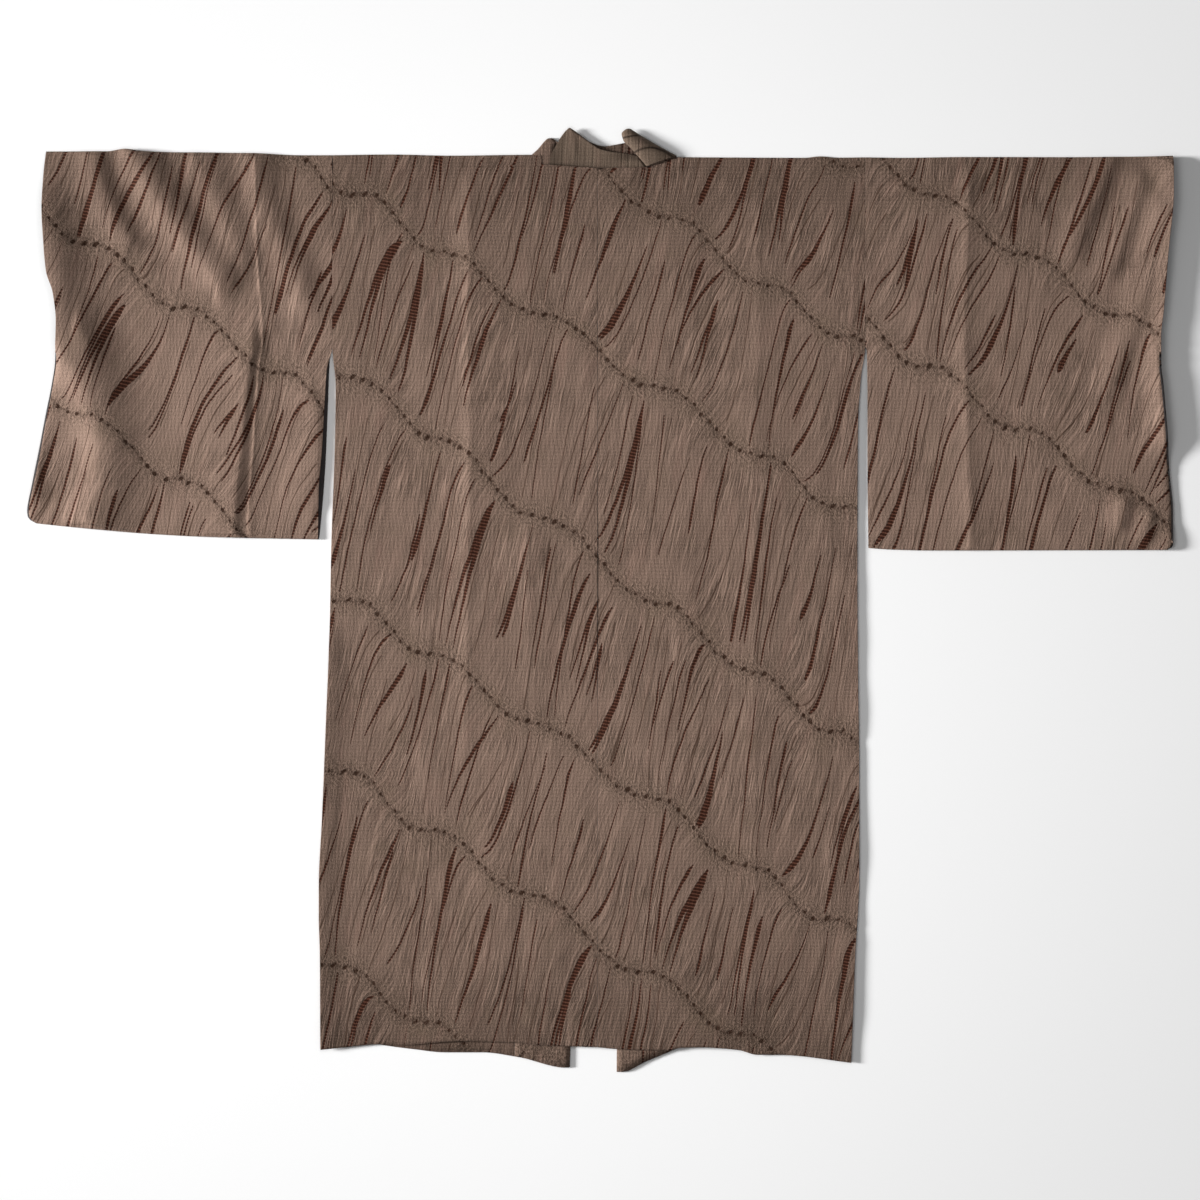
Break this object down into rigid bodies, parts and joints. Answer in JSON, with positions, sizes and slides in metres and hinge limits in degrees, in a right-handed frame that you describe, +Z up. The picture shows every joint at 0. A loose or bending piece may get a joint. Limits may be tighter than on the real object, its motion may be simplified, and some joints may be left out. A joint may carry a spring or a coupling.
{
  "type": "haori kimono coat",
  "caption": "Open-fronted kimono coat (haori) in shibori silk crepe, laid flat with its back up: wide sleeves, folded neckband, straight body.",
  "frame": {"origin": "middle of the bounding box on the floor that the coat lies on", "axes": "+X towards the wearer's right sleeve, +Y towards the collar, +Z up, out of the coat's back"},
  "size_m": [1.374, 1.132, 0.012],
  "materials": {
    "shibori_crepe": "crinkled silk crepe, tie-dyed taupe with rust streaks, soft low sheen",
    "collar_crepe": "ribbed silk crepe, grey-brown, matt"
  },
  "bodies": {
    "root": {"body_left": "shibori_crepe", "body_right": "shibori_crepe", "sleeve_left": "shibori_crepe", "sleeve_right": "shibori_crepe", "gusset_left": "shibori_crepe", "gusset_right": "shibori_crepe", "collar": "collar_crepe"}
  },
  "joints": []
}
